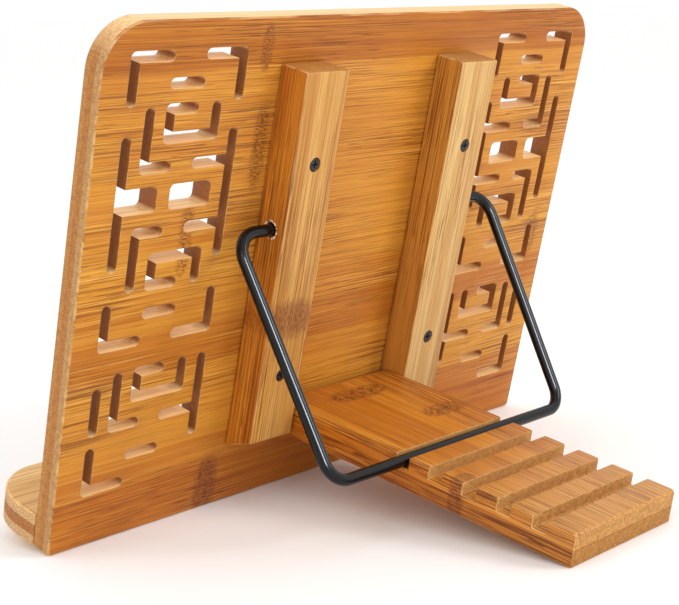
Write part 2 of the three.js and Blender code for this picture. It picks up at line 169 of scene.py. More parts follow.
class Finish:
    """A material being wired up, one small step at a time."""

    def __init__(self, name):
        self.material = bpy.data.materials.new(name)
        self.material.use_nodes = True
        self.tree = self.material.node_tree
        self.shader = self.tree.nodes["Principled BSDF"]

    def feed(self, socket, value):
        """Links a socket or writes a plain value."""
        if isinstance(value, bpy.types.NodeSocket):
            self.tree.links.new(value, socket)
        else:
            socket.default_value = value

    def add(self, kind, inputs=(), **settings):
        """A node with its settings, and its inputs fed by number or by name."""
        node = self.tree.nodes.new(kind)
        for key, value in settings.items():
            setattr(node, key, value)
        for key, value in dict(inputs).items():
            self.feed(node.inputs[key], value)
        return node

    def maths(self, operation, *values):
        return self.add("ShaderNodeMath", enumerate(values), operation=operation).outputs[0]

    def rise(self, value, low, high):
        """0 below low, 1 above high, with a smooth rise between."""
        inputs = {"Value": value, "From Min": low, "From Max": high}
        return self.add("ShaderNodeMapRange", inputs, interpolation_type="SMOOTHSTEP").outputs[0]

    def noise(self, vector, detail=2.0, roughness=0.5):
        inputs = {"Vector": vector, "Scale": 1.0, "Detail": detail, "Roughness": roughness}
        return self.add("ShaderNodeTexNoise", inputs).outputs[0]

    def blend(self, amount, under, over, mode="MIX"):
        node = self.add("ShaderNodeMix", data_type="RGBA", blend_type=mode, clamp_result=True)
        self.feed(node.inputs[0], amount)
        self.feed(node.inputs[6], under)
        self.feed(node.inputs[7], over)
        return node.outputs[2]

    def attribute(self, name):
        return self.add("ShaderNodeAttribute", attribute_name=name).outputs["Fac"]

    def place(self, tilt, origin_y, origin_z):
        """Object coordinates in millimetres, turned upright about X round the given point."""
        source = self.add("ShaderNodeTexCoord").outputs["Object"]
        back = (
            0.0,
            -(math.cos(tilt) * origin_y - math.sin(tilt) * origin_z),
            -(math.sin(tilt) * origin_y + math.cos(tilt) * origin_z),
        )
        scale = (1.0 / MM, 1.0 / MM, 1.0 / MM)
        inputs = {"Vector": source, "Location": back, "Rotation": (tilt, 0.0, 0.0), "Scale": scale}
        mapped = self.add("ShaderNodeMapping", inputs, vector_type="POINT").outputs[0]
        return self.add("ShaderNodeSeparateXYZ", {"Vector": mapped}).outputs

    def stretch(self, along, across, deep, rates, shift=0.0):
        """A vector that runs at the given rates per millimetre along, across and through the grain."""
        steps = [self.maths("MULTIPLY", c, r) for c, r in zip((along, across, deep), rates)]
        steps[2] = self.maths("ADD", steps[2], shift)
        return self.add("ShaderNodeCombineXYZ", enumerate(steps)).outputs[0]

    def surface(self, colour, roughness, height=None, bump=0.0, depth=0.0):
        self.feed(self.shader.inputs["Base Color"], colour)
        self.feed(self.shader.inputs["Roughness"], roughness)
        if height is not None:
            inputs = {"Height": height, "Strength": bump, "Distance": depth * MM}
            normal = self.add("ShaderNodeBump", inputs).outputs[0]
            self.feed(self.shader.inputs["Normal"], normal)
        return self.material


class Cane(Finish):
    """A finish whose along, across and deep follow the grain of laminated cane, in millimetres.

    order picks which of x, y, z each of them is. shift moves the pattern, so that no two
    pieces share it.
    """

    def __init__(self, name, tilt, origin, order, shift):
        super().__init__(name)
        xyz = self.place(tilt, *origin)
        self.axes = [xyz["XYZ".index(axis)] for axis in order]
        self.along, self.across, self.deep = self.axes
        self.shift = shift
        self.fine = self.texture((0.009, 1.2, 0.9), 0.0, 2.0, 0.55)
        self.hair = self.texture((0.018, 2.3, 1.8), 9.0, 2.0, 0.6)
        self.speck = self.texture((1.3, 1.6, 1.6), 0.0, 2.0, 0.6)
        self.side = self.attribute("side")

    def texture(self, rates, offset, detail=2.0, roughness=0.5):
        """Noise that runs at the given rates per millimetre along, across and through the grain."""
        return self.noise(self.stretch(*self.axes, rates, self.shift + offset), detail, roughness)

    def product(self, first, *others):
        for other in others:
            first = self.maths("MULTIPLY", first, other)
        return first

    def band(self, value, low, high, soft=0.25):
        """1 between low and high, 0 outside, with soft edges."""
        starts = self.rise(value, low - soft, low + soft)
        return self.product(starts, self.rise(value, high + soft, high - soft))


def strips(f, light, dark, width, paler):
    """Each glued strip has a tone of its own, under broad streaks and clouds.

    paler is where along the grain the wood starts to turn paler, where it is palest, to what colour and
    how far.
    """
    wander = f.texture((0.004, 0.0, 0.0), 0.0, 1.0)
    number = f.maths("ADD", f.across, f.product(wander, 0.6))
    number = f.maths("ADD", f.maths("FLOOR", f.maths("DIVIDE", number, width)), f.shift)
    strip_tone = f.add("ShaderNodeTexWhiteNoise", {"W": number}, noise_dimensions="1D").outputs["Value"]
    streak = f.texture((0.004, 0.22, 0.12), 3.0, 3.0, 0.55)
    cloud = f.texture((0.012, 0.03, 0.03), 5.0)
    body = f.maths("ADD", f.product(strip_tone, 0.34), f.product(streak, 0.75))
    body = f.maths("ADD", body, f.product(cloud, 0.35))
    colour = f.blend(f.rise(body, 0.42, 1.05), dark, light)
    if paler:
        start, end, tint, amount = paler
        colour = f.blend(f.product(f.rise(f.along, start, end), amount), colour, tint)
    return colour


def fibres(f, colour, fibre, grain):
    """Pale flecks, then dark fibres, finer hairs and short dashes, bolder in some places."""
    dash = f.texture((0.05, 1.5, 1.2), 15.0, 1.0)
    fleck = f.texture((0.010, 1.6, 1.2), 21.0, 2.0, 0.55)
    bold = f.texture((0.008, 0.035, 0.03), 40.0, 1.0)
    bold = f.maths("ADD", 0.5 * grain, f.product(f.rise(bold, 0.38, 0.62), 0.95 * grain))
    layers = (
        (fleck, 0.55, 0.66, 0.28, tone(246, 200, 112)),
        (f.fine, 0.53, 0.62, 0.46, fibre),
        (f.hair, 0.55, 0.62, 0.46, fibre),
        (dash, 0.60, 0.68, 0.45, fibre),
    )
    for lines, start, end, amount, tint in layers:
        colour = f.blend(f.product(f.rise(lines, start, end), bold, amount), colour, tint)
    return colour


def cane_joints(f, colour, joints):
    """Short dark dashes over a slightly darker patch, in a soft-edged oval.

    Each joint is its middle along and across, its half sizes, how dark its dashes are and
    how dark its patch is.
    """
    dots = f.texture((0.42, 1.35, 1.2), 1.0, 2.0, 0.6)
    for along, across, half_along, half_across, dashes, patch in joints:
        a = f.maths("ABSOLUTE", f.maths("DIVIDE", f.maths("SUBTRACT", f.along, along), half_along))
        c = f.maths("ABSOLUTE", f.maths("DIVIDE", f.maths("SUBTRACT", f.across, across), half_across))
        far = f.maths("ADD", f.maths("POWER", a, 2.0), f.maths("POWER", c, 4.0))
        mask = f.product(f.rise(far, 1.0, 0.1), dashes)
        colour = f.blend(f.product(mask, patch), colour, tone(128, 66, 34))
        colour = f.blend(f.product(mask, f.rise(dots, 0.49, 0.55)), colour, tone(108, 56, 18))
    return colour


def tinted(f, colour, place, layers, mask=1.0):
    """Layers of another tone: where each starts, where it ends, its colour and its amount."""
    for low, high, tint, amount in layers:
        inside = f.product(f.band(place, low, high), mask, amount)
        colour = f.blend(inside, colour, tint, "MULTIPLY")
    return colour


def end_grain(f, light, dark, fibre, plies):
    """Fine speckle, cloudy in places, with the plies' own tones."""
    cloudy = f.texture((0.3, 0.35, 0.5), 2.0)
    colour = f.blend(f.rise(f.speck, 0.38, 0.60), dark, light)
    colour = f.blend(f.product(f.rise(cloudy, 0.35, 0.75), 0.30), colour, fibre)
    return tinted(f, colour, f.deep, plies)


def cut_walls(f, colour, scorched):
    """Walls cut across the fibres are scorched. Faces cut along them, and the board's edges that look
    along its height, are pale: partly their own smooth tone, partly painted light.
    """
    speckled = f.blend(f.product(f.rise(f.speck, 0.46, 0.66), 0.35), scorched, tone(184, 134, 88))
    colour = f.blend(f.attribute("cut"), colour, speckled)
    # Painted light, in part: a pale tone on the faces that look up or down the board, the top edge and the
    # slots' floors and ceilings.
    lines = f.product(f.rise(f.fine, 0.45, 0.62), 0.4)
    planed_and_lit = f.blend(lines, tone(244, 202, 142), tone(190, 140, 90))
    return f.blend(f.attribute("floor"), colour, planed_and_lit)


def arris_rub_and_highlight(f, colour):
    """Paler patches along the rounded arrises: partly rubbed wear, partly a painted highlight where the
    rims catch the light.
    """
    patchy = f.rise(f.texture((0.05, 0.2, 0.2), 30.0), 0.36, 0.66)
    # Painted highlight mixed with wear: a pale tone along the rounded arrises.
    return f.blend(f.product(f.attribute("rub_and_highlight"), patchy, 0.36), colour, tone(246, 208, 146))


def bore_chips(f, colour, middle):
    """Pale flakes broken out round the mouth of the wire's bore, on a batten's outer side.

    middle is the bore's place along the grain and through it. The flakes fill a ring from
    just inside the bore's edge to just outside it.
    """
    off_along = f.maths("SUBTRACT", f.along, middle[0])
    off_deep = f.maths("SUBTRACT", f.deep, middle[1])
    far = f.maths("ADD", f.maths("POWER", off_along, 2.0), f.maths("POWER", off_deep, 2.0))
    ring = f.band(f.maths("SQRT", far), WIRE_BORE - 0.3, WIRE_BORE + 1.3, 0.3)
    flake = f.rise(f.texture((0.8, 0.8, 0.8), 2.0, 1.0), 0.49, 0.55)
    outer = f.rise(f.maths("ABSOLUTE", f.across), BATTEN_OUTER - 8, BATTEN_OUTER - 6)
    return f.blend(f.product(flake, ring, outer, f.side), colour, tone(252, 236, 204))


def bamboo(name, tilt, origin, order, light, dark, fibre, strip, end_light, end_dark,
           plies=(), edges=(), joints=(), paler=None, shift=0.0, grain=1.0, chips=None):
    """Laminated cane under clear satin lacquer, built up from the ground tone to the wear and the painted
    highlights on the arrises.

    strip is the width of one glued strip and grain is how strongly its fibres show.
    """
    f = Cane(name, tilt, origin, order, shift)
    colour = strips(f, light, dark, strip, paler)
    colour = fibres(f, colour, fibre, grain)
    colour = tinted(f, colour, f.across, edges)
    colour = cane_joints(f, colour, joints)
    colour = tinted(f, colour, f.deep, plies, f.side)
    end = end_grain(f, end_light, end_dark, fibre, plies)
    colour = f.blend(f.attribute("end_grain"), colour, end)
    colour = cut_walls(f, colour, SCORCHED)
    colour = arris_rub_and_highlight(f, colour)
    if chips:
        colour = bore_chips(f, colour, chips)
    rough = f.maths("ADD", 0.34, f.product(f.fine, 0.20))
    rough = f.maths("ADD", rough, f.product(f.attribute("end_grain"), 0.22))
    height = f.maths("SUBTRACT", 1.0, f.product(f.rise(f.fine, 0.53, 0.62), 0.6))
    height = f.maths("SUBTRACT", height, f.product(f.rise(f.hair, 0.55, 0.62), 0.3))
    f.shader.inputs["Specular IOR Level"].default_value = 0.25
    return f.surface(colour, rough, height, 0.35, 0.10)


def black_enamel(name, gloss, speckle, shine):
    """Sprayed black enamel on metal, with a faint orange peel and dust in the gloss."""
    f = Finish(name)
    x, y, z = f.place(0.0, 0.0, 0.0)
    peel = f.noise(f.stretch(x, y, z, (1.1, 1.1, 1.1)), 2.0, 0.5)
    dust = f.noise(f.stretch(x, y, z, (0.25, 0.25, 0.25)), 3.0, 0.6)
    colour = f.blend(f.rise(dust, 0.35, 0.75), tone(6, 7, 9), tone(speckle, speckle + 1, speckle + 4))
    rough = f.maths("ADD", gloss, f.maths("MULTIPLY", dust, 0.14))
    f.shader.inputs["Specular IOR Level"].default_value = shine
    return f.surface(colour, rough, peel, 0.25, 0.05)


def drawn_steel(name):
    """Drawn rod: fine rings of drawing marks along X."""
    f = Finish(name)
    x, y, z = f.place(0.0, 0.0, 0.0)
    marks = f.noise(f.stretch(x, y, z, (0.05, 3.0, 3.0)), 3.0, 0.6)
    colour = f.blend(marks, tone(150, 152, 155), tone(205, 206, 208))
    f.shader.inputs["Metallic"].default_value = 1.0
    return f.surface(colour, f.maths("ADD", 0.22, f.maths("MULTIPLY", marks, 0.25)), marks, 0.2, 0.03)


BOARD_ORIGIN = (FOOT_Y, 0.0)
PIVOT_Y = FOOT_Y + math.sin(LEAN) * PIVOT_HEIGHT + math.cos(LEAN) * PIVOT_OUT
PIVOT_Z = math.cos(LEAN) * PIVOT_HEIGHT - math.sin(LEAN) * PIVOT_OUT
WARM = tone(213, 146, 46)
DEEP = tone(184, 108, 26)
FIBRE = tone(112, 56, 14)
END_LIGHT = tone(216, 172, 110)
END_DARK = tone(180, 136, 82)
SCORCHED = tone(146, 86, 36)

finishes = {
    "board": bamboo(
        "bamboo_board", LEAN, BOARD_ORIGIN, "XZY", WARM, DEEP, FIBRE, 19.8,
        tone(200, 156, 100), tone(168, 124, 76),
        plies=[(-12.0, -7.6, tone(255, 234, 196), 1.0), (-7.6, -3.8, tone(246, 214, 176), 1.0)],
        edges=[(218.2, 240.0, tone(230, 210, 160), 1.0), (-1.0, 24.6, tone(236, 214, 180), 1.0)],
        joints=[(78.5, 226.0, 4.5, 12.0, 0.8, 0.22), (75.0, 180.0, 5.5, 22.0, 0.8, 0.22),
                (112.5, 142.0, 5.0, 20.0, 0.8, 0.22), (78.0, 10.0, 9.0, 19.0, 0.9, 0.5),
                (-155.0, 111.0, 7.0, 14.0, 0.6, 0.22), (-60.0, 8.0, 6.0, 16.0, 0.5, 0.22)],
    ),
    "ledge": bamboo(
        "bamboo_ledge", LEAN, BOARD_ORIGIN, "XYZ", tone(248, 206, 138), tone(230, 180, 110),
        tone(160, 108, 56), 20.1, tone(226, 184, 130), tone(176, 134, 88),
        plies=[(5.2, 10.6, tone(214, 176, 146), 1.0)],
        joints=[(70.0, -32.0, 6.0, 30.0, 0.3, 0.15), (-104.0, -30.0, 6.0, 26.0, 0.3, 0.15)],
        shift=40.0, grain=0.7,
    ),
    "batten_left": bamboo(
        "bamboo_batten_left", LEAN, BOARD_ORIGIN, "ZXY", tone(220, 182, 118), tone(196, 144, 76),
        tone(142, 88, 38), 5.56, tone(196, 152, 92), tone(158, 114, 62),
        plies=[(-9.0, 99.0, tone(232, 196, 130), 1.0)],
        shift=11.0, grain=1.3, chips=(BAIL_HEIGHT, BAIL_OUT),
    ),
    "batten_right": bamboo(
        "bamboo_batten_right", LEAN, BOARD_ORIGIN, "ZXY", tone(210, 160, 86), tone(186, 124, 50),
        tone(130, 76, 30), 5.56, tone(196, 152, 92), tone(158, 114, 62),
        plies=[(-9.0, 99.0, tone(250, 214, 142), 1.0)],
        joints=[(100.0, 55.0, 12.0, 17.0, 0.6, 0.8)],
        shift=27.0, grain=1.3, chips=(BAIL_HEIGHT, BAIL_OUT),
    ),
    "tail": bamboo(
        "bamboo_tail", LEAN - TAIL_RISE, (PIVOT_Y, PIVOT_Z), "YXZ", tone(208, 132, 32), tone(184, 104, 18),
        tone(112, 52, 10), 15.9, END_LIGHT, END_DARK,
        plies=[(-8.1, 0.0, tone(226, 202, 152), 1.0), (0.0, 8.1, tone(248, 232, 200), 1.0),
               (-0.3, 0.2, tone(206, 170, 130), 0.7)],
        joints=[(13.0, 0.0, 8.0, 22.0, 1.0, 0.22), (50.0, -23.0, 7.0, 17.0, 0.95, 0.22),
                (109.0, 36.0, 5.5, 8.0, 0.7, 0.5)],
        # The tail turns paler towards its far end.
        paler=(60.0, 175.0, tone(206, 148, 78), 0.85),
        shift=63.0, grain=1.2,
    ),
    "dowel": bamboo(
        "beech_dowel", LEAN, BOARD_ORIGIN, "YXZ", tone(222, 196, 156), tone(204, 172, 126),
        tone(170, 132, 88), 60.0, tone(214, 184, 140), tone(170, 136, 92),
        shift=5.0,
    ),
    "wire": black_enamel("black_wire_enamel", 0.13, 9, 0.28),
    "screw": black_enamel("black_screw_coat", 0.28, 22, 0.4),
    "rod": drawn_steel("drawn_steel_rod"),
}


# ------------------------------------------------------------------ wooden pieces


def merged_copy(node):
    """The node's triangles joined into one skin, with its flat faces made whole."""
    skin = bmesh.new()
    skin.from_mesh(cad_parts[node].data)
    bmesh.ops.remove_doubles(skin, verts=skin.verts, dist=0.02 * MM)
    bmesh.ops.dissolve_degenerate(skin, edges=skin.edges, dist=0.01 * MM)
    bmesh.ops.dissolve_limit(skin, angle_limit=math.radians(0.8), verts=skin.verts, edges=skin.edges)
    return skin


def rim_loops(node, axes, level):
    """Closed outlines of the flat face at that level, as arrays of points in its plane.

    axes names the two directions in the plane and the one out of it: u, v and w in some order.
    The outer outline runs with the solid on its left, and so does each hole's.
    """
    skin = merged_copy(node)
    co = np.array([vert.co for vert in skin.verts])
    parts = dict(zip("uvw", board_points(co)))
    p, q, out = (parts[axis] for axis in axes)
    on = np.abs(out - level) < 0.05
    links = {}
    for edge in skin.edges:
        a, b = (vert.index for vert in edge.verts)
        flat = sum(all(on[vert.index] for vert in face.verts) for face in edge.link_faces)
        if on[a] and on[b] and flat == 1:
            links.setdefault(a, []).append(b)
            links.setdefault(b, []).append(a)
    skin.free()
    loops = []
    while links:
        start = next(iter(links))
        chain = [start]
        while links.get(chain[-1]):
            after = links[chain[-1]].pop()
            links[after].remove(chain[-1])
            chain.append(after)
        links = {key: ends for key, ends in links.items() if ends}
        loops.append(np.stack([p[chain[:-1]], q[chain[:-1]]], axis=-1))
    loops.sort(key=lambda loop: -abs(signed_area(loop)))
    return [loop if (signed_area(loop) > 0) == (index == 0) else loop[::-1]
            for index, loop in enumerate(loops)]


def signed_area(loop):
    """Half the sum of x times the next y less the next x times y: positive anticlockwise."""
    after = np.roll(loop, -1, axis=0)
    return float(np.sum(loop[:, 0] * after[:, 1] - loop[:, 1] * after[:, 0])) / 2


def unit(vectors):
    """Each vector divided by its length."""
    return vectors / np.linalg.norm(vectors, axis=-1, keepdims=True)


def eased(loop, radius, steps=4):
    """The loop with each corner sharper than 35 degrees replaced by an arc of that radius.

    The arc touches both sides: it starts radius / tan(half the corner's angle) before the
    corner, and its middle lies radius / sin(half the corner's angle) inwards from it. A point
    t of the way round it is the two end spokes weighted by sin((1 - t) sweep) and sin(t sweep).
    """
    back = np.roll(loop, 1, axis=0) - loop
    ahead = np.roll(loop, -1, axis=0) - loop
    room = 0.45 * np.minimum(np.linalg.norm(back, axis=1), np.linalg.norm(ahead, axis=1))
    back, ahead = unit(back), unit(ahead)
    half = np.arccos(np.clip(np.sum(back * ahead, axis=1), -1, 1)) / 2
    sweep = (math.pi - 2 * half)[:, None]
    sharp = sweep[:, 0] > math.radians(35)
    size = np.minimum(radius, room * np.tan(half))
    reach = np.where(sharp, size / np.tan(half), 0)[:, None]
    inwards = np.where(sharp[:, None], back + ahead, [1.0, 0.0])
    middle = loop + unit(inwards) * np.where(sharp, size / np.sin(half), 0)[:, None]
    first = (loop + back * reach - middle)[:, None]
    last = (loop + ahead * reach - middle)[:, None]
    turn = np.linspace(0, 1, steps + 1)[None, :]
    bend = np.where(sharp[:, None], sweep, 1.0)
    weights = np.sin(np.stack([(1 - turn) * bend, turn * bend])) / np.sin(bend)
    arcs = middle[:, None] + first * weights[0][..., None] + last * weights[1][..., None]
    wanted = sharp[:, None] | (np.arange(steps + 1) == 0)[None, :]
    return arcs[wanted]


def inset(loop, distances):
    """The loop moved to its left by each distance, with its corners kept square."""
    ahead = unit(np.roll(loop, -1, axis=0) - loop)
    normal = np.stack([-ahead[:, 1], ahead[:, 0]], axis=-1)
    before = np.roll(normal, 1, axis=0)
    lean = 1 + np.sum(normal * before, axis=1)[:, None]
    shifts = (normal + before) / np.maximum(lean, 0.3)
    return loop + distances[:, None, None] * shifts


def grid_faces(rows, columns):
    """Quads between neighbouring rows of a grid whose columns close on themselves."""
    row, column = np.meshgrid(np.arange(rows - 1), np.arange(columns), indexing="ij")
    after = (column + 1) % columns
    corners = [row * columns + column, row * columns + after,
               (row + 1) * columns + after, (row + 1) * columns + column]
    return np.stack(corners, axis=-1).reshape(-1, 4)


def array_skin(points, faces):
    """A working skin of the points and faces, with the points that coincide joined."""
    mesh = bpy.data.meshes.new("skin")
    mesh.from_pydata(points.tolist(), [], faces.tolist())
    skin = bmesh.new()
    skin.from_mesh(mesh)
    bpy.data.meshes.remove(mesh)
    bmesh.ops.remove_doubles(skin, verts=skin.verts, dist=0.0001)
    return skin


RIM_STEPS = 4


def prism(loops, low, high, rims):
    """Walls carried round each loop, rounded into the two flat faces by a quarter circle.

    Across the quarter circle of radius r the wall comes in by r (1 - cos t) and stops
    r (1 - sin t) short of the face. The flat faces are then filled between the last rows.
    """
    turn = np.linspace(math.pi / 2, 0, RIM_STEPS + 1)
    points, faces = [], []
    start = 0
    for loop, rim in zip(loops, rims):
        come_in = rim * (1 - np.cos(turn))
        short = rim * (1 - np.sin(turn))
        rows = inset(loop, np.concatenate([come_in, come_in[::-1]]))
        level = np.concatenate([low + short, high - short[::-1]])
        level = np.broadcast_to(level[:, None, None], (*rows.shape[:2], 1))
        points.append(np.concatenate([rows, level], axis=-1).reshape(-1, 3))
        faces.append(grid_faces(len(rows), len(loop)) + start)
        start += len(points[-1])
    skin = array_skin(np.concatenate(points), np.concatenate(faces))
    for level, up in ((low, -1), (high, 1)):
        rim_edges = [edge for edge in skin.edges
                     if edge.is_boundary and abs(edge.verts[0].co.z - level) < 0.001]
        made = bmesh.ops.triangle_fill(skin, use_beauty=True, edges=rim_edges, normal=(0, 0, up))
        for face in made["geom"]:
            if isinstance(face, bmesh.types.BMFace):
                face.tag = True
    bmesh.ops.recalc_face_normals(skin, faces=skin.faces)
    return skin


def face_marks(mesh, marks):
    """Writes one number per face for each named mark, from the face's normal and middle."""
    count = len(mesh.polygons)
    normals = np.zeros(count * 3)
    middles = np.zeros(count * 3)
    mesh.polygons.foreach_get("normal", normals)
    mesh.polygons.foreach_get("center", middles)
    normals = normals.reshape(-1, 3)
    middles = np.stack(board_points(middles.reshape(-1, 3)), axis=-1)
    for name, rule in marks.items():
        values = np.clip(rule(normals, middles), 0.0, 1.0).astype(np.float32)
        mesh.attributes.new(name, "FLOAT", "FACE").data.foreach_set("value", values)


def wooden_piece(node, skin, axes, finish, body, marks):
    """Turns a prism drawn in the board frame into a piece that stands for the node."""
    smooth = np.array([not face.tag for face in skin.faces])
    through = {"u": np.array([1.0, 0.0, 0.0]), "v": BOARD_UP, "w": BOARD_OUT}[axes[2]]

    def rub_and_highlight(normals, middles):
        """1 on the faces that round the walls into the two flat faces, which get wear and a painted
        highlight.
        """
        turned = np.abs(normals @ through)
        return ((turned > 0.25) & (turned < 0.93)) * 1.0

    marks = {**marks, "rub_and_highlight": rub_and_highlight}
    name = "wood_" + node
    mesh = bpy.data.meshes.new(name)
    skin.to_mesh(mesh)
    skin.free()
    co = np.zeros(len(mesh.vertices) * 3)
    mesh.vertices.foreach_get("co", co)
    parts = dict(zip(axes, co.reshape(-1, 3).T))
    mesh.vertices.foreach_set("co", row_points(parts["u"], parts["v"], parts["w"]).ravel())
    mesh.polygons.foreach_set("use_smooth", smooth)
    mesh.update()
    mesh.set_sharp_from_angle(angle=math.radians(32))
    face_marks(mesh, marks)
    mesh.materials.append(finishes[finish])
    piece = bpy.data.objects.new(name, mesh)
    bpy.context.scene.collection.objects.link(piece)
    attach(piece, body)
    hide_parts(node)
    return piece


def in_fretwork(u, v):
    """True where the fretwork lies, down both sides of the board."""
    beside = (np.abs(u) > FRETWORK_INNER) & (np.abs(u) < FRETWORK_OUTER)
    return beside & (v > FRETWORK_LOW) & (v < FRETWORK_HIGH)


def make_board():
    """The board, with its outer arrises rounded well and those of the fretwork only just."""

    def wall(normals, middles):
        inside = in_fretwork(middles[:, 0], middles[:, 1])
        return inside * (np.abs(normals @ BOARD_OUT) < 0.6)

    # Painted light, in part: faces that look along the board's height get the pale tone, which stands in
    # part for light from above.
    def floor(normals, middles):
        return side(normals, middles) * (np.abs(normals @ BOARD_UP) * 1.6 - 0.5)

    def cut(normals, middles):
        return wall(normals, middles) * 1.0

    def end_grain(normals, middles):
        return (np.abs(normals[:, 0]) - 0.5) * 2.5 * (1 - cut(normals, middles))

    def side(normals, middles):
        return (np.abs(normals @ BOARD_OUT) < 0.5) * 1.0

    loops = rim_loops("back_board", "uvw", 0.0)
    loops = [loops[0]] + [hole for hole in loops[1:] if in_fretwork(*hole.mean(axis=0))]
    rims = [1.4] + [0.35] * (len(loops) - 1)
    skin = prism(loops, -BOARD_THICKNESS, 0.0, rims)
    marks = {"cut": cut, "floor": floor, "end_grain": end_grain, "side": side}
    wooden_piece("back_board", skin, "uvw", "board", "stand", marks)


def make_ledge():
    """The ledge, drawn upwards from the board's foot."""

    def side(normals, middles):
        return (np.abs(normals @ BOARD_UP) < 0.5) * 1.0

    def end_grain(normals, middles):
        return (np.abs(normals[:, 0]) - 0.35) * 1.6 * side(normals, middles)

    outline = eased(rim_loops("album_ledge", "wuv", LEDGE_THICKNESS)[0], 0.6)
    marks = {"end_grain": end_grain, "side": side}
    skin = prism([outline], 0.0, LEDGE_THICKNESS, [1.3])
    wooden_piece("album_ledge", skin, "wuv", "ledge", "stand", marks)


def make_battens():
    """Both battens, with their bores for the wire, the rod and the screws."""

    def end_grain(normals, middles):
        up = normals @ BOARD_UP
        return (up > 0.6) * 0.75 + (up < -0.6) * (middles[:, 1] < 45) * 0.9

    def side(normals, middles):
        return (np.abs(normals[:, 0]) > 0.6) * 1.0

    def cut(normals, middles):
        across, up, out = np.abs(middles[:, 0]), middles[:, 1], middles[:, 2]
        flat_side = np.abs(normals[:, 0]) > 0.95
        bail = (np.hypot(up - BAIL_HEIGHT, out - BAIL_OUT) < WIRE_BORE + 0.3) & ~flat_side
        below = out < BATTEN_DEPTH - 0.2
        screws = [(np.hypot(across - SCREW_OUT, up - height) < SCREW_SEAT - 0.03) & below
                  for height in SCREW_HEIGHTS.values()]
        return np.logical_or.reduce([bail, *screws]) * 1.0

    marks = {"end_grain": end_grain, "side": side, "cut": cut}
    for hand, sign in (("left", 1.0), ("right", -1.0)):
        near, far = sorted((sign * BATTEN_INNER, sign * BATTEN_OUTER))
        outline = rim_loops(f"batten_{hand}", "vwu", sign * BATTEN_OUTER)[0]
        skin = prism([eased(outline, 1.0)], near, far, [1.0])
        for cutter in batten_cutters(sign):
            skin = carved(skin, cutter)
        wooden_piece(f"batten_{hand}", skin, "vwu", f"batten_{hand}", "stand", marks)


def batten_cutters(sign):
    """Bores for the wire and the rod, and a countersunk bore for each screw, as closed skins.

    Each is a list of (radius, place along its axis), and ends past the face that it opens in.
    """
    tip = BAIL_TIP - REST_GAP
    lip = WIRE_BORE + 0.5
    wire = [(0.0, tip), (WIRE_BORE, tip), (WIRE_BORE, BATTEN_OUTER - 0.4), (lip, BATTEN_OUTER + 0.1),
            (lip, BATTEN_OUTER + PAST_FACE), (0.0, BATTEN_OUTER + PAST_FACE)]
    yield turned_skin(wire, "u", sign, BAIL_HEIGHT, BAIL_OUT)
    open_end = BATTEN_INNER - PAST_FACE
    rod_end = BATTEN_INNER + ROD_DEPTH + REST_GAP
    rod = [(0.0, open_end), (ROD_BORE, open_end), (ROD_BORE, rod_end), (0.0, rod_end)]
    yield turned_skin(rod, "u", sign, PIVOT_HEIGHT, PIVOT_OUT)
    top = BATTEN_DEPTH + PAST_FACE
    screw = [(0.0, -PAST_FACE), (SCREW_BORE, -PAST_FACE), (SCREW_BORE, SCREW_TOP - SEAT_FOOT),
             (SCREW_SEAT, SCREW_TOP - SEAT_DEPTH), (SCREW_SEAT, top), (0.0, top)]
    for height in SCREW_HEIGHTS.values():
        yield turned_skin(screw, "w", sign, SCREW_OUT, height)


def turned_skin(profile, axis, sign, first, second, sides=40):
    """Pairs of radius r and place along the axis, turned about it.

    A point is (first + r cos a, second + r sin a) at its place along the axis, written in
    the (v, w, u) order. A radius of 0 closes the skin in one point.
    """
    radius, place = np.array(profile).T[:, :, None]
    angle = np.arange(sides) * 2 * math.pi / sides
    a, b = radius * np.cos(angle), radius * np.sin(angle)
    place = np.broadcast_to(place, a.shape)
    if axis == "u":
        points = np.stack([first + a, second + b, sign * place], axis=-1)
    else:
        points = np.stack([second + b, place, sign * first + a], axis=-1)
    skin = array_skin(points.reshape(-1, 3), grid_faces(len(profile), sides))
    bmesh.ops.recalc_face_normals(skin, faces=skin.faces)
    return skin


def carved(skin, cutter):
    """The first closed skin less the second. The flat end faces keep their mark."""
    block = bpy.data.objects.new("block", skin_mesh(skin))
    tool = bpy.data.objects.new("tool", skin_mesh(cutter))
    for thing in (block, tool):
        bpy.context.scene.collection.objects.link(thing)
    cut = block.modifiers.new("cut", "BOOLEAN")
    cut.operation = "DIFFERENCE"
    cut.solver = "EXACT"
    cut.object = tool
    bpy.context.view_layer.update()
    graph = bpy.context.evaluated_depsgraph_get()
    mesh = bpy.data.meshes.new_from_object(block.evaluated_get(graph))
    result = bmesh.new()
    result.from_mesh(mesh)
    result.normal_update()
    for face in result.faces:
        face.tag = abs(face.normal.z) > 0.999 and face.calc_area() > 4.0
    for thing in (block, tool):
        bpy.data.objects.remove(thing)
    bpy.data.meshes.remove(mesh)
    return result


def skin_mesh(skin):
    """The working skin as a mesh. The skin is used up."""
    mesh = bpy.data.meshes.new("skin")
    skin.to_mesh(mesh)
    skin.free()
    return mesh


def make_tail():
    """The notched tail, drawn across its width, with the rod's bore through its knuckle."""

    def end_grain(normals, middles):
        return (np.abs(normals @ TAIL_ALONG) > 0.8) * (middles[:, 2] > 60) * 1.0

    def side(normals, middles):
        return (np.abs(normals[:, 0]) > 0.6) * 1.0

    half = BATTEN_INNER - TAIL_PLAY
    outline, bore = rim_loops("tail_board", "vwu", half)[:2]
    skin = prism([eased(outline, 0.7), bore], -half, half, [0.6, 0.1])
    marks = {"end_grain": end_grain, "side": side}
    wooden_piece("tail_board", skin, "vwu", "tail", "tail", marks)


# ------------------------------------------------------------------ wire bail and screws


def capped_faces(rows, sides):
    """The grid's quads, with one flat face over each end."""
    faces = grid_faces(rows, sides).tolist()
    last = (rows - 1) * sides
    faces.append(list(range(sides))[::-1])
    faces.append(list(range(last, last + sides)))
    return faces


